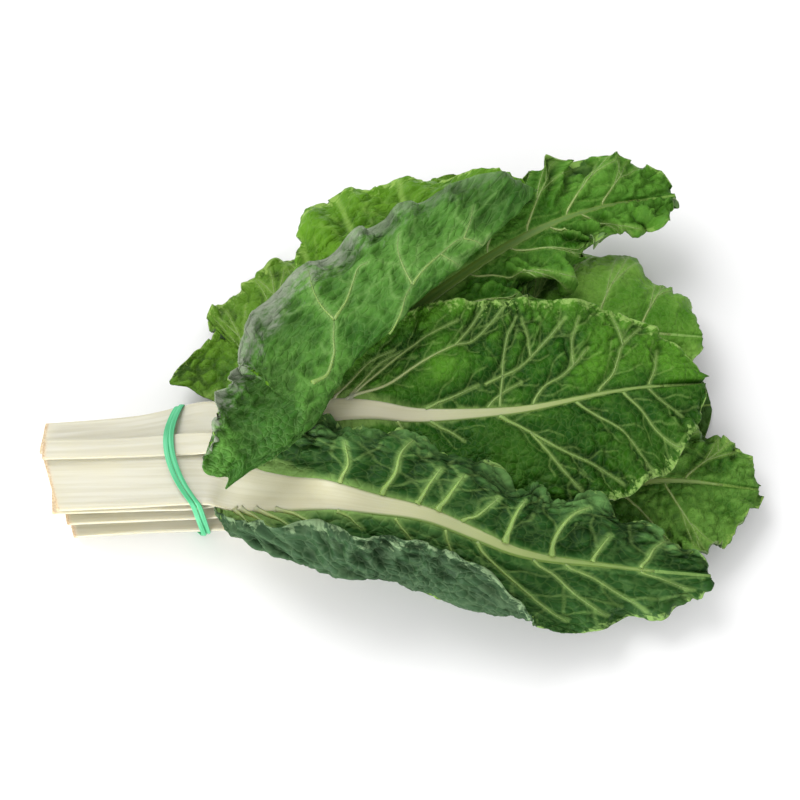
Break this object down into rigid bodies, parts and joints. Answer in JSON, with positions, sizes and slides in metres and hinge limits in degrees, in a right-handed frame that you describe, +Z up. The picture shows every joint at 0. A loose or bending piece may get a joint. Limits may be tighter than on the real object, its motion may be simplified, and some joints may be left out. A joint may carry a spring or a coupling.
{
  "type": "spinach bunch",
  "caption": "Bunch of broad-stalked spinach leaves lying on its side, crinkled green blades on white ribbed stalks, held together by a green rubber band.",
  "frame": {"origin": "middle of the bounding box in plan, on the surface that the bunch lies on", "axes": "+X along the bunch from the cut stalk ends to the leaf tips, +Z up, +Y away from the side that is seen first"},
  "size_m": [0.4452, 0.3304, 0.1202],
  "materials": {
    "stalk": "moist creamy white plant stalk with fine ribs along it, satin",
    "leaf": "fresh green leaf, waxy satin above and dull grey-green below",
    "band": "matt green rubber"
  },
  "bodies": {
    "root": {"leaf_1_stalk": "stalk", "leaf_1_blade": "leaf", "leaf_2_stalk": "stalk", "leaf_2_blade": "leaf", "leaf_3_stalk": "stalk", "leaf_3_blade": "leaf", "leaf_4_stalk": "stalk", "leaf_4_blade": "leaf", "leaf_5_stalk": "stalk", "leaf_5_blade": "leaf", "leaf_6_stalk": "stalk", "leaf_6_blade": "leaf", "leaf_7_stalk": "stalk", "leaf_7_blade": "leaf", "leaf_8_stalk": "stalk", "leaf_8_blade": "leaf", "leaf_9_stalk": "stalk", "leaf_9_blade": "leaf", "rubber_band": "band"}
  },
  "joints": []
}
